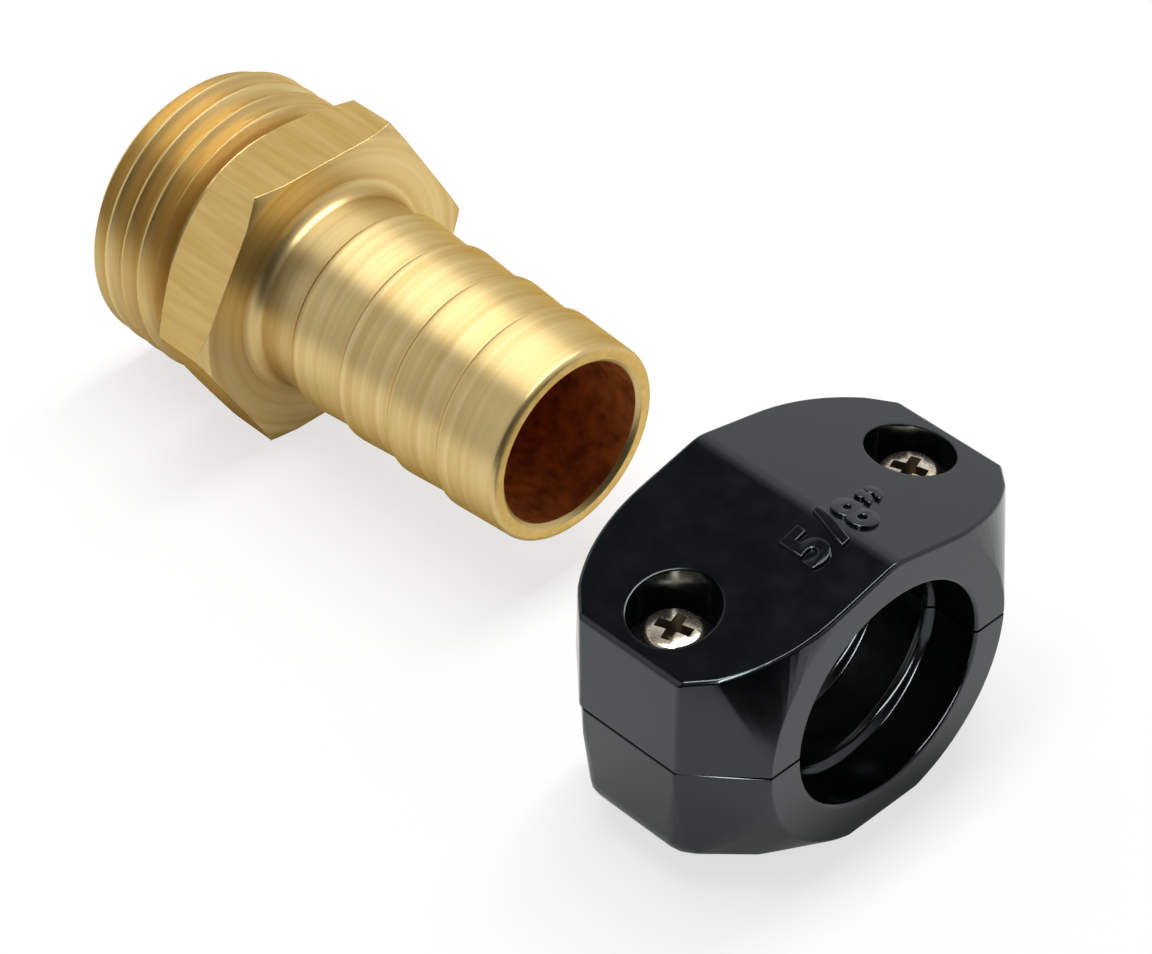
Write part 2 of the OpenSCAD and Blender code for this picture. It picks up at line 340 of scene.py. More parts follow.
def node(material, kind, inputs=None, **settings):
    """Adds a node with its settings; an input takes a value or the output that feeds it."""
    made = material.node_tree.nodes.new("ShaderNode" + kind)
    for setting, value in settings.items():
        setattr(made, setting, value)
    for socket, value in (inputs or {}).items():
        if isinstance(value, bpy.types.NodeSocket):
            material.node_tree.links.new(value, made.inputs[socket])
        else:
            made.inputs[socket].default_value = value
    return made


def new_material(name):
    """An empty material, and its output node."""
    material = bpy.data.materials.new(name)
    material.use_nodes = True
    material.node_tree.nodes.clear()
    return material, node(material, "OutputMaterial")


def millimetres(material, centre):
    """The surface's own place in mm, counted from a centre that is given in metres."""
    place = node(material, "TexCoord").outputs["Object"]
    offset = tuple(-c / MM for c in centre)
    return node(
        material, "Mapping", {"Vector": place, "Location": offset, "Scale": (1 / MM,) * 3}
    ).outputs["Vector"]


def stretched_noise(material, place, cell, detail=2.0, roughness=0.5):
    """Noise whose cells have the given length in mm along each axis."""
    scaled = node(
        material, "VectorMath", {0: place, 1: tuple(1 / c for c in cell)}, operation="MULTIPLY"
    ).outputs["Vector"]
    return node(
        material, "TexNoise", {"Vector": scaled, "Scale": 1.0, "Detail": detail, "Roughness": roughness}
    ).outputs["Fac"]


def remap(material, value, low, high, new_low, new_high):
    """A value brought from one range to another and kept inside it."""
    return node(
        material,
        "MapRange",
        {"Value": value, "From Min": low, "From Max": high, "To Min": new_low, "To Max": new_high},
    ).outputs["Result"]


def blend_colours(material, share, first, second):
    """First colour where the share is 0, second where it is 1."""
    mixed = node(material, "Mix", {0: share}, data_type="RGBA")
    for socket, colour in ((6, first), (7, second)):
        if isinstance(colour, bpy.types.NodeSocket):
            material.node_tree.links.new(colour, mixed.inputs[socket])
        else:
            mixed.inputs[socket].default_value = colour
    return mixed.outputs[2]


# Turned brass: the tool leaves rings of uneven depth, which show as fine bright and dark lines.
brass_light = "#E1CA91"
brass_dark = "#D1B479"
brass_edge_tint = "#CDB27C"
turned_brass, turned_output = new_material("turned_brass")
turned_place = millimetres(turned_brass, fitting_axis)
split = node(turned_brass, "SeparateXYZ", {0: turned_place})
from_axis = node(
    turned_brass, "VectorMath", {0: turned_place, 1: (0, 1, 1)}, operation="MULTIPLY"
).outputs["Vector"]
radius_here = node(turned_brass, "VectorMath", {0: from_axis}, operation="LENGTH").outputs["Value"]
ring_place = node(
    turned_brass, "CombineXYZ", {"X": split.outputs["X"], "Y": radius_here, "Z": split.outputs["Y"]}
).outputs["Vector"]
feed_lines = stretched_noise(turned_brass, ring_place, (0.16, 0.16, 60), detail=3)
tool_bands = stretched_noise(turned_brass, ring_place, (0.9, 0.9, 40), detail=2)
band_share = remap(turned_brass, tool_bands, 0.35, 0.65, 0, 1)
brass_colour = blend_colours(turned_brass, band_share, linear(brass_light), linear(brass_dark))
turned_bump = node(
    turned_brass, "Bump", {"Strength": 1.0, "Distance": 0.0035 * MM, "Height": feed_lines}
)
turned_shader = node(
    turned_brass,
    "BsdfPrincipled",
    {
        "Base Color": brass_colour,
        "Metallic": 1.0,
        "Specular Tint": linear(brass_edge_tint),
        "Roughness": remap(turned_brass, feed_lines, 0.3, 0.7, 0.36, 0.46),
        "Anisotropic": 0.62,
        "Anisotropic Rotation": 0.25,
        "Tangent": node(turned_brass, "Tangent", direction_type="RADIAL", axis="X").outputs["Tangent"],
        "Normal": turned_bump.outputs["Normal"],
    },
)
turned_brass.node_tree.links.new(turned_shader.outputs["BSDF"], turned_output.inputs["Surface"])

# Drawn brass: the bar's flats keep the die's fine scratches along the bar.
# The tip's narrow face, cut off square, is as plain as they are.
drawn_brass, drawn_output = new_material("drawn_brass")
drawn_place = millimetres(drawn_brass, fitting_axis)
die_lines = stretched_noise(drawn_brass, drawn_place, (14, 0.12, 0.12), detail=2)
drawn_colour = blend_colours(
    drawn_brass,
    remap(drawn_brass, stretched_noise(drawn_brass, drawn_place, (9, 0.8, 0.8)), 0.35, 0.65, 0, 1),
    linear("#DCBD7A"),
    linear("#D0AF69"),
)
drawn_bump = node(drawn_brass, "Bump", {"Strength": 1.0, "Distance": 0.0008 * MM, "Height": die_lines})
drawn_shader = node(
    drawn_brass,
    "BsdfPrincipled",
    {
        "Base Color": drawn_colour,
        "Metallic": 1.0,
        "Specular Tint": linear(brass_edge_tint),
        "Roughness": remap(drawn_brass, die_lines, 0.3, 0.7, 0.33, 0.39),
        "Normal": drawn_bump.outputs["Normal"],
    },
)
drawn_brass.node_tree.links.new(drawn_shader.outputs["BSDF"], drawn_output.inputs["Surface"])

# Drilled brass: the waterway is left from the drill, dull and brown with tarnish.
drilled_brass, drilled_output = new_material("drilled_brass")
drilled_place = millimetres(drilled_brass, fitting_axis)
tarnish = stretched_noise(drilled_brass, drilled_place, (1.6, 1.6, 1.6), detail=4)
tarnish_share = remap(drilled_brass, tarnish, 0.35, 0.65, 0, 1)
drilled_shader = node(
    drilled_brass,
    "BsdfPrincipled",
    {
        "Base Color": blend_colours(drilled_brass, tarnish_share, linear("#E0883E"), linear("#A05522")),
        "Metallic": 0.3,
        "Roughness": remap(drilled_brass, tarnish, 0.3, 0.7, 0.4, 0.6),
    },
)
drilled_brass.node_tree.links.new(drilled_shader.outputs["BSDF"], drilled_output.inputs["Surface"])

fitting.data.materials.clear()
for finish in (turned_brass, drawn_brass, drilled_brass):
    fitting.data.materials.append(finish)
flat_slack = 0.005
bore_slack = 0.02
for face in fitting.data.polygons:
    middle = (face.center - thread_end) / MM
    outward = Vector((0, middle.y, middle.z))
    on_flat = abs(face.normal.x) < 0.01 and outward.dot(face.normal) > hexagon_flat_r - flat_slack
    on_hexagon = hexagon_start < middle.x < tail_start
    corners = [(fitting.data.vertices[i].co - thread_end) / MM for i in face.vertices]
    on_tip = face.normal.x > 0.9 and middle.x > fitting_length - tip_round
    in_waterway = all(math.hypot(corner.y, corner.z) < waterway_r + bore_slack for corner in corners)
    face.material_index = 1 if (on_flat and on_hexagon) or on_tip else 2 if in_waterway else 0

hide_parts("hose_fitting")
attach(fitting, "fitting_and_lower_half")

# Clamp halves
# Two mouldings in black glass-filled nylon that close about the hose with a rib-lined bore.
# Both run from a round ring face about the bore into flat ends; the screws pull them together.

clamp_low, clamp_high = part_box("clamp_upper")
under_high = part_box("clamp_lower")[1]
clamp_centre = Vector(
    (
        (clamp_low.x + clamp_high.x) / 2,
        (clamp_low.y + clamp_high.y) / 2,
        (under_high.z + clamp_low.z) / 2,
    )
)
half_gap = (clamp_low.z - under_high.z) / 2 / MM
half_width = (clamp_high.x - clamp_low.x) / 2 / MM
end_y = (clamp_high.y - clamp_low.y) / 2 / MM

bore_r = 10.1
ring_r = 13.7
end_half_width = 5.6
roof_edge_half = 4.8
crown_r = 21
ridge_h = 13.8
roof_slope = math.radians(12.82)
foot_h = 13.1
foot_half = 4.5
under_slope = math.radians(13)
lower_draft = math.radians(2.5)
edge_round = 0.35
bottom_round = 1.8
crisp_depth = 5
end_zone = 8
corner_round = 0.8
roof_end_round = 0.7
under_end_round = 2.6
ridge_round = 4
foot_round = 6
rim_round = 0.12
shell_overlap = 1
shell_depth = 11
spare = 3


def rounded_corner(before, at, after, radius, shrink, steps):
    """The rounded corner of an outline that is drawn in by a width."""
    corner = Vector(at)
    back, on = (Vector(before) - corner).normalized(), (Vector(after) - corner).normalized()
    half_angle = back.angle(on) / 2
    middle = corner + (back + on).normalized() * radius / math.sin(half_angle)
    reach = radius / math.tan(half_angle)
    turns = [corner + side * reach - middle for side in (back, on)]
    first, last = [math.degrees(math.atan2(turn.y, turn.x)) for turn in turns]
    return arc(middle, radius - shrink, first, last, steps)


def plan_quarter(shrink, upper):
    """A quarter of a half seen from above, drawn in by a width: the roof's crown, or a plain end."""
    end = (end_half_width, end_y)
    if not upper:
        plan_round = max(corner_round, shrink)
        return rounded_corner((end_half_width, 0), end, (0, end_y), plan_round, shrink, 4)
    a, b = Vector((half_width, roof_edge_half)), Vector(end)
    chord = b - a
    inward = Vector((-chord.y, chord.x)).normalized()
    middle = (a + b) / 2 + inward * math.sqrt(crown_r**2 - chord.length**2 / 4)
    first, last = [math.degrees(math.atan2(p.y - middle.y, p.x - middle.x)) for p in (a, b)]
    crown = arc(middle, crown_r - shrink, first, last, 12)
    return crown[:-1] + rounded_corner(crown[-2], end, (0, end_y), corner_round, shrink, 4)


def side_profile(shrink, upper):
    """A side of the half seen along the bore, drawn in by a width: (across, off the parting plane)."""
    if upper:
        slope, draft, flat, top = roof_slope, 0, 0, ridge_h
        end_round, crest_round = roof_end_round, ridge_round
    else:
        slope, draft, flat, top = under_slope, lower_draft, foot_half, foot_h
        end_round, crest_round = under_end_round, foot_round
    end_h = (top - (end_y - flat) * math.tan(slope)) / (1 - math.tan(draft) * math.tan(slope))
    start = (end_y + spare * math.tan(draft), -spare)
    shoulder = (end_y - end_h * math.tan(draft), end_h)
    crest = (flat, top)
    beyond = (-shoulder[0], end_h) if upper else (0, top)
    half = [(start[0] - shrink / math.cos(draft), -spare)]
    half += rounded_corner(start, shoulder, crest, end_round, shrink, 6)
    crest_arc = rounded_corner(shoulder, crest, beyond, crest_round, shrink, 6)
    half += [point for point in crest_arc if point[0] > -0.001]
    return half


def clamp_shell(name, upper, rounding):
    """The rough half: plan and ring hulled together, cut to the side profile, with all edges rounded."""
    quarter = plan_quarter(rounding, upper)
    plan_points = quarter + [(-x, y) for x, y in reversed(quarter)]
    plan_points += [(-x, -y) for x, y in quarter] + [(x, -y) for x, y in reversed(quarter)]
    low, high = (-shell_overlap, ridge_h - rounding) if upper else (-shell_depth, shell_overlap)
    narrowing = 1 if upper else 1 + low * math.tan(lower_draft) / (end_half_width - rounding)
    body = outline(name, [(x * narrowing, y, low) for x, y in plan_points])
    body.location = clamp_centre
    bpy.ops.object.transform_apply()
    bpy.ops.object.mode_set(mode="EDIT")
    bpy.ops.mesh.select_all(action="SELECT")
    bpy.ops.mesh.extrude_region_move(TRANSFORM_OT_translate={"value": (0, 0, (high - low) * MM)})
    bpy.ops.transform.resize(value=(1 / narrowing, 1, 1), center_override=tuple(clamp_centre))
    bpy.ops.mesh.primitive_cylinder_add(
        vertices=96,
        radius=(ring_r - rounding) * MM,
        depth=2 * (half_width - rounding) * MM,
        location=clamp_centre,
        rotation=(0, math.pi / 2, 0),
    )
    bpy.ops.mesh.select_all(action="SELECT")
    bpy.ops.mesh.convex_hull()
    bpy.ops.object.mode_set(mode="OBJECT")
    profile = side_profile(rounding, upper)
    sign = 1 if upper else -1
    points = [(y, sign * z) for y, z in profile] + [(-y, sign * z) for y, z in reversed(profile)]
    side = outline(name + "_side", [(-half_width - spare, y, z) for y, z in points])
    side.location = clamp_centre
    bpy.ops.object.transform_apply()
    bpy.ops.object.mode_set(mode="EDIT")
    bpy.ops.mesh.select_all(action="SELECT")
    side_length = 2 * (half_width + spare) * MM
    bpy.ops.mesh.extrude_region_move(TRANSFORM_OT_translate={"value": (side_length, 0, 0)})
    close_up()
    bpy.ops.object.mode_set(mode="OBJECT")
    boolean(body, "INTERSECT", side)
    round_over(body, rounding)
    return body


def round_over(body, radius):
    """Rounds a convex body that was drawn in by the radius: a ball at every corner, and their hull."""
    bpy.ops.object.select_all(action="DESELECT")
    bpy.ops.mesh.primitive_uv_sphere_add(segments=16, ring_count=10, radius=radius * MM)
    ball = bpy.context.object
    ball.parent = body
    body.instance_type = "VERTS"
    bpy.context.view_layer.objects.active = body
    bpy.ops.object.select_all(action="DESELECT")
    body.select_set(True)
    bpy.ops.object.duplicates_make_real()
    body.instance_type = "NONE"
    bpy.data.objects.remove(ball)
    bpy.context.view_layer.objects.active = body
    body.select_set(True)
    bpy.ops.object.join()
    take_hull()


def take_hull():
    """Turns the active piece into the convex hull of its corners, and makes its flat faces whole."""
    bpy.ops.object.mode_set(mode="EDIT")
    bpy.ops.mesh.select_all(action="SELECT")
    bpy.ops.mesh.convex_hull()
    bpy.ops.mesh.select_all(action="SELECT")
    bpy.ops.mesh.dissolve_limited(angle_limit=math.radians(0.3))
    bpy.ops.object.mode_set(mode="OBJECT")


def part_at(body, height, keep_above):
    """Cuts the half off flat at a height over the parting plane, in mm."""
    bpy.ops.object.select_all(action="DESELECT")
    bpy.context.view_layer.objects.active = body
    body.select_set(True)
    bpy.ops.object.mode_set(mode="EDIT")
    bpy.ops.mesh.select_all(action="SELECT")
    bpy.ops.mesh.bisect(
        plane_co=clamp_centre + UPWARD * height * MM,
        plane_no=UPWARD,
        use_fill=True,
        clear_inner=keep_above,
        clear_outer=not keep_above,
    )
    close_up()
    bpy.ops.object.mode_set(mode="OBJECT")


rib_h = 0.6
rib_pitch = 5.8
rib_half_width = 0.8
rib_steps = 10
lip = 0.35


def bore_core():
    """The core that leaves the bore with its three round-crested ribs and its rounded lips."""
    stations = [(-half_width - 1, bore_r + lip + 1), (-half_width - 0.01, bore_r + lip + 0.01)]
    stations += reversed(arc((-half_width + lip, bore_r + lip), lip, 270, 180, 5))
    for rib in (-rib_pitch, 0, rib_pitch):
        for i in range(rib_steps + 1):
            share = 2 * i / rib_steps - 1
            height = rib_h * (1 + math.cos(math.pi * share)) / 2
            stations.append((rib + share * rib_half_width, bore_r - height))
    stations += arc((half_width - lip, bore_r + lip), lip, 270, 360, 5)
    stations += [(half_width + 0.01, bore_r + lip + 0.01), (half_width + 1, bore_r + lip + 1)]
    return lathe("bore_core", clamp_centre, ALONG, stations, 144)


screw_boxes = {side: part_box("screw_" + side) for side in ("left", "right")}
screw_axes = {
    side: Vector(((low.x + high.x) / 2, (low.y + high.y) / 2, 0))
    for side, (low, high) in screw_boxes.items()
}
recess_r = 3.8
recess_floor = 6.9
recess_foot_round = 0.3
recess_foot_mid = 0.09
clearance_r = 1.62
pilot_r = 1.48
pilot_depth = 9.5

clamp_upper = clamp_shell("clamp_upper_half", True, edge_round)
part_at(clamp_upper, half_gap, keep_above=True)
boolean(clamp_upper, "DIFFERENCE", bore_core())
for axis_place in screw_axes.values():
    parting = axis_place + UPWARD * clamp_centre.z
    recess = lathe(
        "screw_recess",
        parting,
        UPWARD,
        [
            (recess_floor, recess_r - recess_foot_round),
            (recess_floor + recess_foot_mid, recess_r - recess_foot_mid),
            (recess_floor + recess_foot_round, recess_r),
            (ridge_h + 2, recess_r),
        ],
        72,
    )
    boolean(clamp_upper, "DIFFERENCE", recess)
    hole = lathe("clearance_hole", parting, UPWARD, [(-1, clearance_r), (ridge_h, clearance_r)], 48)
    boolean(clamp_upper, "DIFFERENCE", hole)


def bevel_chosen(piece, width, chosen):
    """Rounds the edges that are chosen by their place and the steepness of their two faces."""
    mesh = bmesh.new()
    mesh.from_mesh(piece.data)
    weight = mesh.edges.layers.float.new("bevel_weight_edge")
    for edge in mesh.edges:
        steep = sorted(abs(face.normal.z) for face in edge.link_faces)
        place = (edge.verts[0].co + edge.verts[1].co) / 2
        edge[weight] = 1.0 if len(steep) == 2 and chosen(edge, place, steep) else 0.0
    mesh.to_mesh(piece.data)
    mesh.free()
    put_on(piece, "BEVEL", width=width * MM, segments=3, limit_method="WEIGHT", use_clamp_overlap=False)


def from_screws(place):
    """Distance in mm to the nearer screw's axis."""
    level = Vector((1, 1, 0))
    return min(((place - axis_place) * level).length for axis_place in screw_axes.values()) / MM


def on_rim(edge, place, steep):
    """Whether an edge is on the rim of a screw recess, between its upright wall and the sloping roof."""
    short = edge.calc_length() < 0.6 * MM
    wall_to_roof = steep[0] < 0.05 and 0.9 < steep[1] < 0.99
    return short and wall_to_roof and abs(from_screws(place) - recess_r) < 0.05


def on_parting_edge(edge, place, steep):
    """Whether an edge is on the outside of the parting face."""
    heights = [abs(corner.co.z - clamp_centre.z) / MM for corner in edge.verts]
    at_parting = all(abs(height - half_gap) < 0.01 for height in heights)
    past_bore = abs(place.y - clamp_centre.y) > (bore_r + lip + 0.05) * MM
    return at_parting and past_bore and from_screws(place) > 2 and steep[0] < 0.3 and steep[1] > 0.99


bevel_chosen(clamp_upper, rim_round, on_rim)
bevel_chosen(clamp_upper, rim_round, on_parting_edge)

# The lower half is crisp but for the bottom of its ends, where a softer shell takes over.
clamp_lower = clamp_shell("clamp_lower_half", False, edge_round)
crisp = bmesh.new()
crisp.from_mesh(clamp_lower.data)
bottom_ends = []
for corner in crisp.verts:
    place = (corner.co - clamp_centre) / MM
    if place.z < -crisp_depth and abs(place.x) < end_zone:
        bottom_ends.append(corner)
bmesh.ops.delete(crisp, geom=bottom_ends, context="VERTS")
crisp.to_mesh(clamp_lower.data)
crisp.free()
soft_ends = clamp_shell("clamp_lower_soft_ends", False, bottom_round)
soft_ends.select_set(True)
clamp_lower.select_set(True)
bpy.context.view_layer.objects.active = clamp_lower
bpy.ops.object.join()
bpy.ops.object.mode_set(mode="EDIT")
bpy.ops.mesh.select_all(action="SELECT")
bpy.ops.mesh.delete(type="EDGE_FACE")
bpy.ops.object.mode_set(mode="OBJECT")
take_hull()
part_at(clamp_lower, -half_gap, keep_above=False)
boolean(clamp_lower, "DIFFERENCE", bore_core())
for axis_place in screw_axes.values():
    parting = axis_place + UPWARD * clamp_centre.z
    hole = lathe("pilot_hole", parting, UPWARD, [(-pilot_depth, pilot_r), (1, pilot_r)], 48)
    boolean(clamp_lower, "DIFFERENCE", hole)
bevel_chosen(clamp_lower, rim_round, on_parting_edge)

# Glass-filled nylon from a polished mould: black all through, with a faint ripple from shrinkage.
black_nylon, nylon_output = new_material("black_nylon")
nylon_place = millimetres(black_nylon, clamp_centre)
shrink_ripple = stretched_noise(black_nylon, nylon_place, (2.5, 2.5, 2.5), detail=2)
fibre_grain = stretched_noise(black_nylon, nylon_place, (0.12, 0.12, 0.12), detail=2)
ripple_bump = node(
    black_nylon, "Bump", {"Strength": 1.0, "Distance": 0.003 * MM, "Height": shrink_ripple}
)
grain_bump = node(
    black_nylon,
    "Bump",
    {
        "Strength": 1.0,
        "Distance": 0.0006 * MM,
        "Height": fibre_grain,
        "Normal": ripple_bump.outputs["Normal"],
    },
)
nylon_shader = node(
    black_nylon,
    "BsdfPrincipled",
    {
        "Base Color": linear("#07090B"),
        "Specular Tint": linear("#EAFAFB"),
        "Roughness": remap(black_nylon, shrink_ripple, 0.3, 0.7, 0.13, 0.18),
        "IOR": 1.53,
        "Normal": grain_bump.outputs["Normal"],
    },
)
black_nylon.node_tree.links.new(nylon_shader.outputs["BSDF"], nylon_output.inputs["Surface"])

for half in (clamp_upper, clamp_lower):
    smooth(half, angle=30)
    half.data.materials.clear()
    half.data.materials.append(black_nylon)
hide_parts("clamp_upper")
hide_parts("clamp_lower")
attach(clamp_upper, "upper_half")
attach(clamp_lower, "fitting_and_lower_half")

# Size mark
# The size of hose that the clamp is for, raised on the roof across its ridge in plain figures.
# It is part of the upper moulding, so it has the same gloss.

mark_height = 3.75
mark_rise = 0.3
mark_bevel = 0.1
mark_cap_share = 0.7
mark_spacing = 1.22
mark_weight = 0.14
mark_place = Vector((4.4, 1.0))
bpy.ops.object.select_all(action="DESELECT")
bpy.ops.object.text_add()
mark = bpy.context.object
mark.name = "size_mark"
mark.data.body = "5/8\u201d"
mark.data.align_x = "CENTER"
mark.data.align_y = "CENTER"
mark.data.size = mark_height / mark_cap_share * MM
mark.data.space_character = mark_spacing
mark.data.extrude = (mark_rise - mark_bevel) * MM
mark.data.bevel_depth = mark_bevel * MM
mark.data.bevel_resolution = 2
mark.data.offset = mark_weight * MM
bpy.ops.object.convert(target="MESH")
mark.rotation_euler = (0, 0, math.pi / 2)
mark.location = clamp_centre + Vector((*mark_place, 0)) * MM
bpy.ops.object.transform_apply()
bpy.ops.object.mode_set(mode="EDIT")
close_up()
bpy.ops.mesh.select_all(action="SELECT")
bpy.ops.mesh.bisect(plane_co=clamp_centre, plane_no=ACROSS)
bpy.ops.object.mode_set(mode="OBJECT")
for corner in mark.data.vertices:
    corner.co.z += ridge_h * MM - abs(corner.co.y - clamp_centre.y) * math.tan(roof_slope)
smooth(mark, angle=40)
mark.data.materials.clear()
mark.data.materials.append(black_nylon)
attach(mark, "upper_half")

# Clamp screws
# Two pan-head machine screws with a cross recess, in nickel-plated steel.
# Each stands in a round recess of the upper half, passes through it and threads into the lower half.

head_r = 2.65
head_h = 1.9
head_edge = 0.9
head_rim = 0.08
shank_r = 1.42
shank_root_r = 1.1
screw_pitch = 0.635
screw_length = 15.9
screw_turns = 24
point_bevel = 0.35
cross_length = 3.6
cross_width = 1.1
cross_depth = 1.4
cross_over = 0.5
cross_turn = 20
cross_taper = 0.5

# Nickel-plated steel: bright and slightly yellow, with fine tumbling marks.
nickel_plate, nickel_output = new_material("nickel_plate")
nickel_place = millimetres(nickel_plate, (0, 0, 0))
tumbling = stretched_noise(nickel_plate, nickel_place, (0.25, 0.25, 0.25), detail=3)
nickel_bump = node(nickel_plate, "Bump", {"Strength": 1.0, "Distance": 0.01 * MM, "Height": tumbling})
nickel_shader = node(
    nickel_plate,
    "BsdfPrincipled",
    {
        "Base Color": blend_colours(
            nickel_plate,
            remap(nickel_plate, tumbling, 0.4, 0.62, 0, 1),
            linear("#E2DACD"),
            linear("#B9A78C"),
        ),
        "Metallic": 1.0,
        "Roughness": remap(nickel_plate, tumbling, 0.3, 0.7, 0.16, 0.3),
        "Normal": nickel_bump.outputs["Normal"],
    },
)
nickel_plate.node_tree.links.new(nickel_shader.outputs["BSDF"], nickel_output.inputs["Surface"])

# Nickel-plated steel given a darker colour: painted shade for the shade that falls in the cross recess.
recess_shade_plate, recess_shade_output = new_material("nickel_with_painted_recess_shade")
recess_shade_shader = node(
    recess_shade_plate, "BsdfPrincipled", {"Base Color": linear("#6E6352"), "Metallic": 1.0, "Roughness": 0.35}
)
recess_shade_plate.node_tree.links.new(recess_shade_shader.outputs["BSDF"], recess_shade_output.inputs["Surface"])


def pan_head_screw(name, seat):
    """One screw, standing with its head on the seat."""
    head = [(-0.3, shank_root_r), (0, shank_root_r + 0.1), (0, head_r - head_rim), (head_rim, head_r)]
    head += arc((head_h - head_edge, head_r - head_edge), head_edge, 90, 25, 8)
    head += [(head_h - 0.01, 0.9), (head_h, 0.3)]
    shank = [(-screw_length, shank_root_r - point_bevel), (point_bevel - screw_length, shank_root_r)]
    screw = lathe(name, seat, UPWARD, shank + head, 64)
    section = ridge_profile(shank_root_r - 0.05, shank_r, screw_pitch)
    thread = helix(
        "screw_thread",
        seat,
        "Z",
        [(r, 0, x - screw_length) for x, r in section],
        screw_pitch,
        screw_turns,
        32,
    )
    screw_limits = lathe(
        "screw_limits",
        seat,
        UPWARD,
        [
            (0.02 - screw_length, shank_root_r - 0.3),
            (0.6 - screw_length, shank_r + 0.1),
            (-0.7, shank_r + 0.1),
            (-0.4, shank_root_r - 0.1),
        ],
        48,
    )
    boolean(thread, "INTERSECT", screw_limits)
    boolean(screw, "UNION", thread)
    for turn in (cross_turn, cross_turn + 90):
        bpy.ops.object.select_all(action="DESELECT")
        arm_height = head_h - cross_depth / 2 + cross_over / 2
        bpy.ops.mesh.primitive_cube_add(size=MM, location=seat + UPWARD * arm_height * MM)
        arm = bpy.context.object
        arm.scale = (cross_length, cross_width, cross_depth + cross_over)
        arm.rotation_euler = (0, 0, math.radians(turn))
        bpy.ops.object.transform_apply()
        bpy.ops.object.mode_set(mode="EDIT")
        bpy.ops.mesh.select_all(action="DESELECT")
        bpy.ops.mesh.select_mode(type="FACE")
        cutter = bmesh.from_edit_mesh(arm.data)
        for face in cutter.faces:
            face.select_set(face.normal.z < -0.9)
        bmesh.update_edit_mesh(arm.data)
        bpy.ops.transform.resize(value=(cross_taper, cross_taper, 1), center_override=tuple(seat))
        bpy.ops.object.mode_set(mode="OBJECT")
        boolean(screw, "DIFFERENCE", arm)
    smooth(screw, angle=35)
    screw.data.materials.clear()
    screw.data.materials.append(nickel_plate)
    screw.data.materials.append(recess_shade_plate)
    # The faces of the cross lie near the axis and below the head's top; they take the darker plate,
    # which is painted shade.
    for face in screw.data.polygons:
        place = (face.center - seat) / MM
        from_middle = math.hypot(place.x, place.y)
        in_cross = 0.3 < place.z < head_h - 0.11 and from_middle < cross_length / 2 + 0.05
        face.material_index = 1 if in_cross else 0
    return screw


seat_height = UPWARD * (screw_boxes["left"][1].z - head_h * MM)
left_screw = pan_head_screw("screw_left_nickel", screw_axes["left"] + seat_height)
bpy.ops.object.select_all(action="DESELECT")
left_screw.select_set(True)
bpy.context.view_layer.objects.active = left_screw
bpy.ops.object.duplicate_move(
    TRANSFORM_OT_translate={"value": tuple(screw_axes["right"] - screw_axes["left"])}
)
right_screw = bpy.context.object
right_screw.name = "screw_right_nickel"
bpy.ops.object.transform_apply()
for side, screw in (("left", left_screw), ("right", right_screw)):
    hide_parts("screw_" + side)
    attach(screw, side + "_screw")

# Studio
# A plain pale floor, a long softbox overhead, a strip by the camera and a surround that is bright
# near the horizon and dark overhead and behind the camera.

floor_size = 6
bpy.ops.object.select_all(action="DESELECT")
bpy.ops.mesh.primitive_plane_add(size=floor_size)
floor = bpy.context.object
floor.name = "studio_floor"
pale_floor, floor_output = new_material("pale_floor")
camera_white = 0.7
gloss_white = 0.15
floor_diffuse = node(pale_floor, "BsdfDiffuse", {"Color": linear("#EDEDED")})
floor_white = node(pale_floor, "Emission", {"Color": linear("#FFFFFF"), "Strength": 1.0})
ray_kind = node(pale_floor, "LightPath").outputs
gloss_share = node(
    pale_floor, "Math", {0: ray_kind["Is Glossy Ray"], 1: gloss_white}, operation="MULTIPLY"
).outputs["Value"]
white_share = node(
    pale_floor,
    "Math",
    {0: ray_kind["Is Camera Ray"], 1: camera_white, 2: gloss_share},
    operation="MULTIPLY_ADD",
).outputs["Value"]
floor_shader = node(
    pale_floor,
    "MixShader",
    {0: white_share, 1: floor_diffuse.outputs["BSDF"], 2: floor_white.outputs["Emission"]},
)
pale_floor.node_tree.links.new(floor_shader.outputs["Shader"], floor_output.inputs["Surface"])
floor.data.materials.append(pale_floor)


def area_lamp(name, width, length, energy, place):
    """A rectangular lamp at a place, not yet turned."""
    lamp = bpy.data.lights.new(name, "AREA")
    lamp.shape = "RECTANGLE"
    lamp.size = width
    lamp.size_y = length
    lamp.energy = energy
    holder = bpy.data.objects.new(name, lamp)
    holder.location = place
    bpy.context.scene.collection.objects.link(holder)
    return holder


# A long softbox hangs across the fitting, so that its turned rings carry one broad bright band.
softbox = area_lamp("overhead_softbox", 0.14, 0.72, 4.2, (-0.05, 0.07, 0.60))
softbox.rotation_euler = (-math.atan2(0.07, 0.60), -math.atan2(0.05, 0.60), 0)

# A narrow upright strip by the camera, seen only by gloss: it draws thin bright lines along the
# clamp's edges and ribs.
edge_strip = area_lamp("edge_strip", 0.07, 0.8, 5, (0.33, -0.32, 0.4))
edge_strip.rotation_euler = edge_strip.location.to_track_quat("Z", "Y").to_euler()
edge_strip.visible_diffuse = False
strip_lit = bpy.data.collections.new("lit_by_edge_strip")
for piece in (clamp_upper, clamp_lower, mark, left_screw, right_screw):
    strip_lit.objects.link(piece)
edge_strip.light_linking.receiver_collection = strip_lit
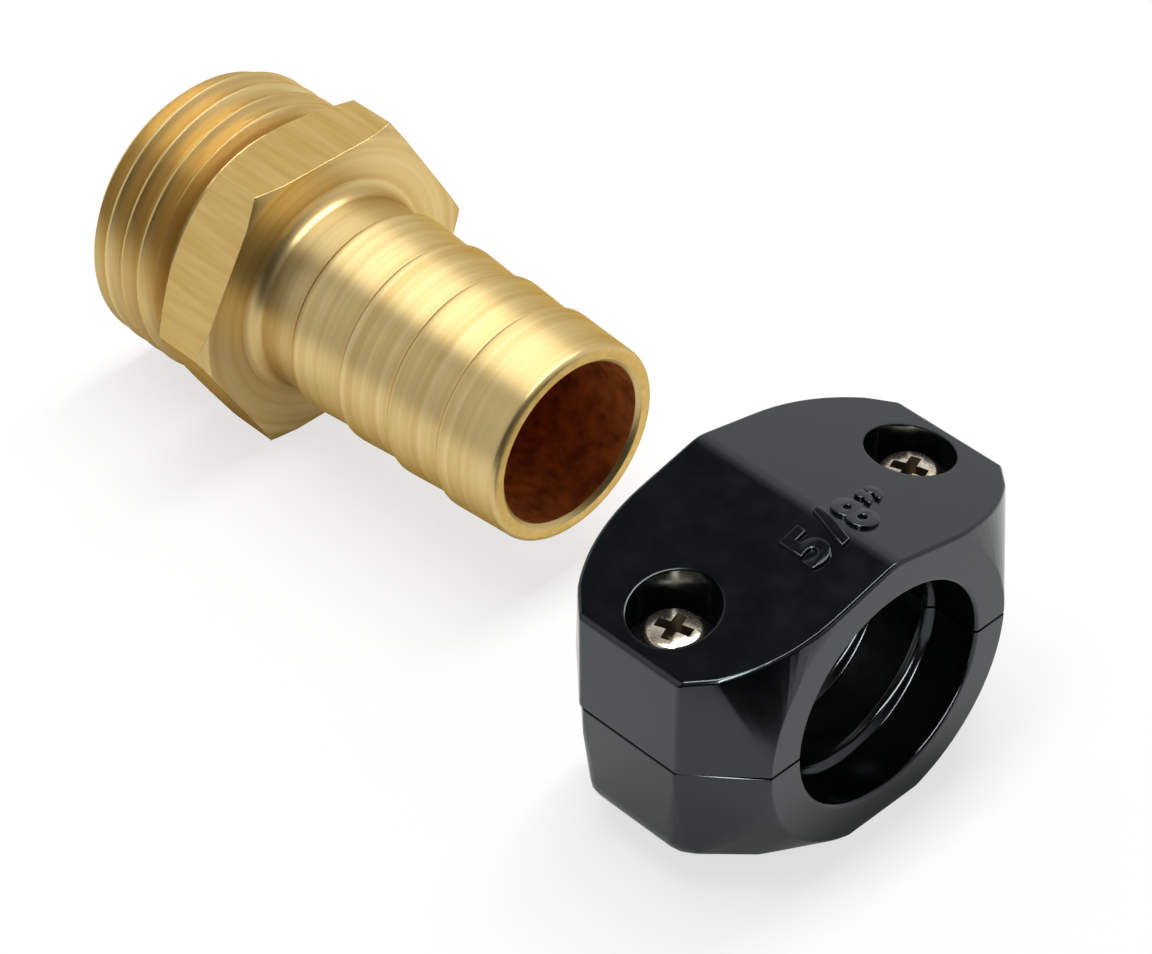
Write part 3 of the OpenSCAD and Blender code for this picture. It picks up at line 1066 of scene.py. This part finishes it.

# A black card lies before the camera; only gloss sees it, as a painted reflection: the dark band under
# the clamp's roof, standing in for the shaded floor in front of the clamp.
card_start = 0.066
card_size = 0.8
card_height = 0.2
camera_side = Vector((0.72, -0.69, 0))
bpy.ops.object.select_all(action="DESELECT")
bpy.ops.mesh.primitive_plane_add(size=card_size)
card = bpy.context.object
card.name = "dark_reflection_card"
card.rotation_euler = (0, 0, math.atan2(camera_side.y, camera_side.x))
card.location = camera_side.normalized() * (card_start + card_size / 2) + UPWARD * card_height * MM
bpy.ops.object.transform_apply()
for rays in ("camera", "diffuse", "shadow"):
    setattr(card, "visible_" + rays, False)
dark_reflection_card, card_output = new_material("dark_reflection_card")
# Its dark colour shows only in reflections: a painted reflection of shade.
card_diffuse = node(dark_reflection_card, "BsdfDiffuse", {"Color": linear("#101010")})
dark_reflection_card.node_tree.links.new(card_diffuse.outputs["BSDF"], card_output.inputs["Surface"])
card.data.materials.append(dark_reflection_card)

studio = bpy.data.worlds.new("studio_surround")
studio.use_nodes = True
bpy.context.scene.world = studio
studio.node_tree.nodes.clear()
direction = node(studio, "TexCoord").outputs["Generated"]
height = node(studio, "SeparateXYZ", {0: direction}).outputs["Z"]
toward_camera = node(
    studio, "VectorMath", {0: direction, 1: tuple(camera_side)}, operation="DOT_PRODUCT"
).outputs["Value"]
# The surround darkens between 40 and 55 degrees up, and around the camera's side.
dark_overhead = remap(studio, height, 0.64, 0.82, 0, 1)
dark_by_camera = remap(studio, toward_camera, 0.35, 0.75, 0, 1)
darkness = node(
    studio, "Math", {0: dark_overhead, 1: dark_by_camera}, operation="MAXIMUM"
).outputs["Value"]
surround = blend_colours(studio, darkness, linear("#EAEAEA"), linear("#2C2D2F"))
sky = node(studio, "Background", {"Color": surround, "Strength": 1.0})
node(studio, "OutputWorld", {"Surface": sky.outputs["Background"]})

# Camera
# Stands at the photograph's angle, found by fitting both parts to the picture.

camera_azimuth = math.radians(46.14)
camera_elevation = math.radians(40.72)
camera_roll = math.radians(-0.385)
camera_distance = 0.3427
camera_aim = Vector((7.61, 0.58, 13)) * MM
camera_data = bpy.data.cameras.new("photo_camera")
camera_data.sensor_width = 36
camera_data.lens = 128.15
camera_data.clip_start = 0.01
camera = bpy.data.objects.new("photo_camera", camera_data)
bpy.context.scene.collection.objects.link(camera)
backward = Vector(
    (
        math.sin(camera_azimuth) * math.cos(camera_elevation),
        -math.cos(camera_azimuth) * math.cos(camera_elevation),
        math.sin(camera_elevation),
    )
)
camera.location = camera_aim + backward * camera_distance
camera.rotation_euler = (
    backward.to_track_quat("Z", "Y").to_matrix() @ Matrix.Rotation(camera_roll, 3, "Z")
).to_euler()
bpy.context.scene.camera = camera
bpy.context.scene.view_settings.view_transform = "Standard"
